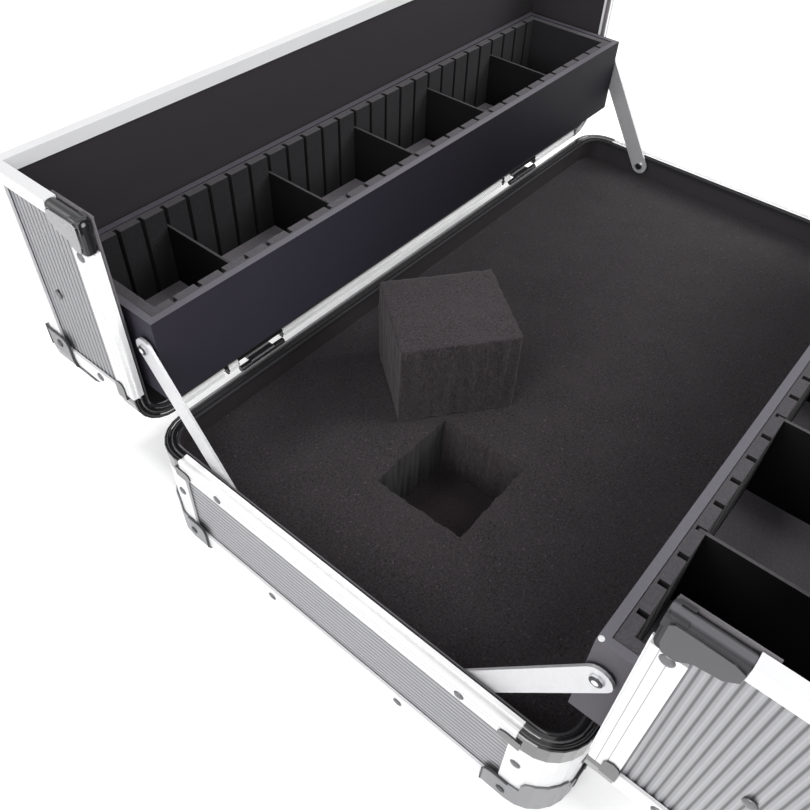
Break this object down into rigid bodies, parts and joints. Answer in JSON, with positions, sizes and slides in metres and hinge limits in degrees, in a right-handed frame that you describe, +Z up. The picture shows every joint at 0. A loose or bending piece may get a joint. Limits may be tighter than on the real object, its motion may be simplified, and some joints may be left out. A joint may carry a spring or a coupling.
{
  "type": "knife case",
  "caption": "Ribbed aluminium hard case for chef knives, open: a foam-filled tub, half lids hinged at front and rear, and a divided tray held level by struts in each lid.",
  "frame": {"origin": "below the middle of the tub, level with the flat undersides of its corner caps", "axes": "+X along the hinges to the right, +Y to the rear lid, +Z up"},
  "size_m": [0.603, 0.5587, 0.2722],
  "materials": {
    "ribbed_aluminium": "ribbed satin aluminium skin on a laminated panel",
    "bright_aluminium": "bright anodised extrusion",
    "black_plastic": "glossy black moulding",
    "corner_steel": "polished pressed steel",
    "satin_aluminium": "satin flat bar",
    "hinge_steel": "plated steel strip",
    "block_foam": "open-cell foam, finely speckled",
    "tray_board": "dark textured board with a light top edge",
    "liner_foam": "fine closed-cell foam",
    "divider_board": "thin dark board",
    "latch_steel": "plated steel"
  },
  "bodies": {
    "base": {"base_shell": "ribbed_aluminium", "base_rim_frame": "bright_aluminium", "base_edge_frame": "bright_aluminium", "base_rim_corner_front_left": "black_plastic", "base_corner_cap_front_left": "corner_steel", "base_rim_corner_front_right": "black_plastic", "base_corner_cap_front_right": "corner_steel", "base_rim_corner_rear_left": "black_plastic", "base_corner_cap_rear_left": "corner_steel", "base_rim_corner_rear_right": "black_plastic", "base_corner_cap_rear_right": "corner_steel", "foam_block": "block_foam", "foam_cube": "block_foam", "rear_hinge_left": "hinge_steel", "rear_hinge_right": "hinge_steel", "front_hinge_left": "hinge_steel", "front_hinge_right": "hinge_steel"},
    "rear_lid": {"rear_lid_shell": "ribbed_aluminium", "rear_lid_rim_frame": "bright_aluminium", "rear_lid_edge_frame": "bright_aluminium", "rear_lid_rim_corner_left": "black_plastic", "rear_lid_corner_cap_left": "corner_steel", "rear_lid_corner_guard_left": "black_plastic", "rear_lid_rim_corner_right": "black_plastic", "rear_lid_corner_cap_right": "corner_steel", "rear_lid_corner_guard_right": "black_plastic", "latch_catch_left": "latch_steel", "latch_catch_right": "latch_steel"},
    "front_lid": {"front_lid_shell": "ribbed_aluminium", "front_lid_rim_frame": "bright_aluminium", "front_lid_edge_frame": "bright_aluminium", "front_lid_rim_corner_left": "black_plastic", "front_lid_corner_cap_left": "corner_steel", "front_lid_corner_guard_left": "black_plastic", "front_lid_rim_corner_right": "black_plastic", "front_lid_corner_cap_right": "corner_steel", "front_lid_corner_guard_right": "black_plastic", "latch_plate_left": "latch_steel", "latch_plate_right": "latch_steel", "handle_plate": "latch_steel"},
    "rear_tray": {"rear_tray_shell": "tray_board", "rear_tray_liner": "liner_foam", "rear_tray_divider_1": "divider_board", "rear_tray_divider_2": "divider_board", "rear_tray_divider_3": "divider_board", "rear_tray_divider_4": "divider_board", "rear_tray_divider_5": "divider_board"},
    "front_tray": {"front_tray_shell": "tray_board", "front_tray_liner": "liner_foam", "front_tray_divider_1": "divider_board", "front_tray_divider_2": "divider_board", "front_tray_divider_3": "divider_board", "front_tray_divider_4": "divider_board"},
    "rear_strut_left": {"rear_strut_left": "satin_aluminium"},
    "rear_strut_right": {"rear_strut_right": "satin_aluminium"},
    "front_strut_left": {"front_strut_left": "satin_aluminium"},
    "front_strut_right": {"front_strut_right": "satin_aluminium"},
    "latch_lever_left": {"latch_lever_left": "latch_steel"},
    "latch_lever_right": {"latch_lever_right": "latch_steel"},
    "handle_bail": {"handle_bail": "black_plastic"}
  },
  "joints": [
    {"name": "rear_lid_hinge", "type": "hinge", "parent": "base", "child": "rear_lid", "pos_m": [0, 0.176, 0.09675], "axis": [1, 0, 0], "range_deg": [0, 90], "deforming": ["foam_cube"]},
    {"name": "rear_tray_pivot", "type": "hinge", "parent": "rear_lid", "child": "rear_tray", "pos_m": [0, 0.2375, 0.19065], "axis": [1, 0, 0], "range_deg": [-90, 0]},
    {"name": "rear_strut_left_pivot", "type": "hinge", "parent": "base", "child": "rear_strut_left", "pos_m": [-0.288, 0.1025, 0.085], "axis": [1, 0, 0], "range_deg": [0, 90]},
    {"name": "rear_strut_right_pivot", "type": "hinge", "parent": "base", "child": "rear_strut_right", "pos_m": [0.288, 0.1025, 0.085], "axis": [1, 0, 0], "range_deg": [0, 90]},
    {"name": "front_lid_hinge", "type": "hinge", "parent": "base", "child": "front_lid", "pos_m": [0, -0.176, 0.09675], "axis": [-1, 0, 0], "range_deg": [0, 90]},
    {"name": "front_tray_pivot", "type": "hinge", "parent": "front_lid", "child": "front_tray", "pos_m": [0, -0.2375, 0.19065], "axis": [-1, 0, 0], "range_deg": [-90, 0]},
    {"name": "front_strut_left_pivot", "type": "hinge", "parent": "base", "child": "front_strut_left", "pos_m": [-0.288, -0.1025, 0.085], "axis": [-1, 0, 0], "range_deg": [0, 90]},
    {"name": "front_strut_right_pivot", "type": "hinge", "parent": "base", "child": "front_strut_right", "pos_m": [0.288, -0.1025, 0.085], "axis": [-1, 0, 0], "range_deg": [0, 90]},
    {"name": "latch_left_pivot", "type": "hinge", "parent": "front_lid", "child": "latch_lever_left", "pos_m": [-0.198, -0.27575, 0.26725], "axis": [-1, 0, 0], "range_deg": [0, 180]},
    {"name": "latch_right_pivot", "type": "hinge", "parent": "front_lid", "child": "latch_lever_right", "pos_m": [0.198, -0.27575, 0.26725], "axis": [-1, 0, 0], "range_deg": [0, 180]},
    {"name": "handle_pivot", "type": "hinge", "parent": "front_lid", "child": "handle_bail", "pos_m": [0, -0.27705, 0.23025], "axis": [-1, 0, 0], "range_deg": [0, 170]}
  ],
  "couplings": [
    {"joint": "rear_tray_pivot", "follows": "rear_lid_hinge", "ratio": -1},
    {"joint": "rear_strut_left_pivot", "follows": "rear_lid_hinge", "ratio": 1},
    {"joint": "rear_strut_right_pivot", "follows": "rear_lid_hinge", "ratio": 1},
    {"joint": "front_tray_pivot", "follows": "front_lid_hinge", "ratio": -1},
    {"joint": "front_strut_left_pivot", "follows": "front_lid_hinge", "ratio": 1},
    {"joint": "front_strut_right_pivot", "follows": "front_lid_hinge", "ratio": 1}
  ]
}
